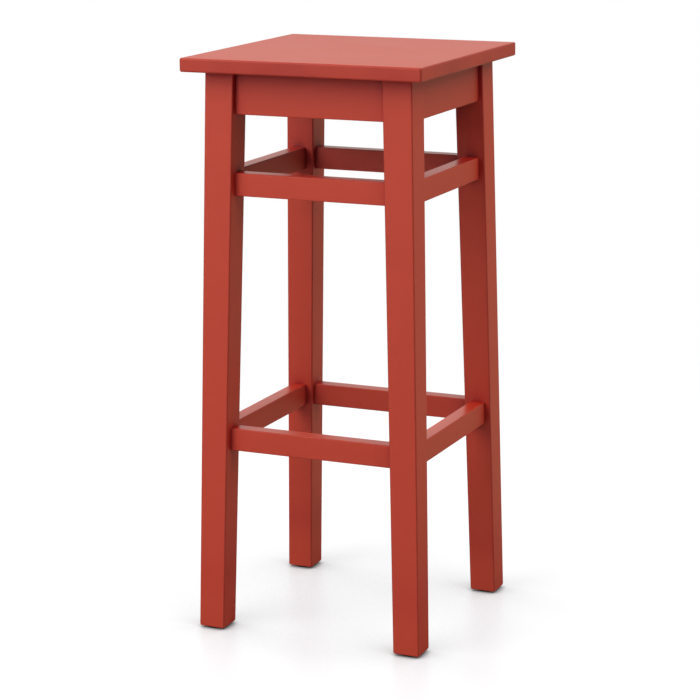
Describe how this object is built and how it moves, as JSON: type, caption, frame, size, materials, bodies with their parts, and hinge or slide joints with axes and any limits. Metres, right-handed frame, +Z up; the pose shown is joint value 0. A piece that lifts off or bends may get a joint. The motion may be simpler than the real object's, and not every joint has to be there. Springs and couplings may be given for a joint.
{
  "type": "bar stool",
  "caption": "Tall square bar stool in red painted wood: board seat on splayed, tapering legs joined by aprons, upper rails and foot rails.",
  "frame": {"origin": "on the floor, under the middle of the seat", "axes": "+Z up, -Y to the front, +X to the stool's right as seen from the front"},
  "size_m": [0.33, 0.335, 0.76],
  "materials": {
    "red_paint": "satin red paint",
    "bare_beech": "bare, turned",
    "zinc_steel": "bright zinc plating",
    "black_plastic": "moulded"
  },
  "bodies": {
    "root": {"seat": "red_paint", "leg_front_left": "red_paint", "leg_front_right": "red_paint", "leg_back_left": "red_paint", "leg_back_right": "red_paint", "apron_front": "red_paint", "apron_back": "red_paint", "apron_left": "red_paint", "apron_right": "red_paint", "upper_rail_front": "red_paint", "upper_rail_back": "red_paint", "upper_rail_left": "red_paint", "upper_rail_right": "red_paint", "lower_rail_front": "red_paint", "lower_rail_back": "red_paint", "lower_rail_left": "red_paint", "lower_rail_right": "red_paint", "corner_block_front_left": "red_paint", "corner_block_front_right": "red_paint", "corner_block_back_left": "red_paint", "corner_block_back_right": "red_paint", "glide_front_left": "black_plastic", "glide_front_right": "black_plastic", "glide_back_left": "black_plastic", "glide_back_right": "black_plastic", "apron_dowels": "bare_beech", "upper_rail_dowels": "bare_beech", "lower_rail_dowels": "bare_beech", "block_screws": "zinc_steel", "seat_screws": "zinc_steel", "glide_nails": "zinc_steel"}
  },
  "joints": []
}
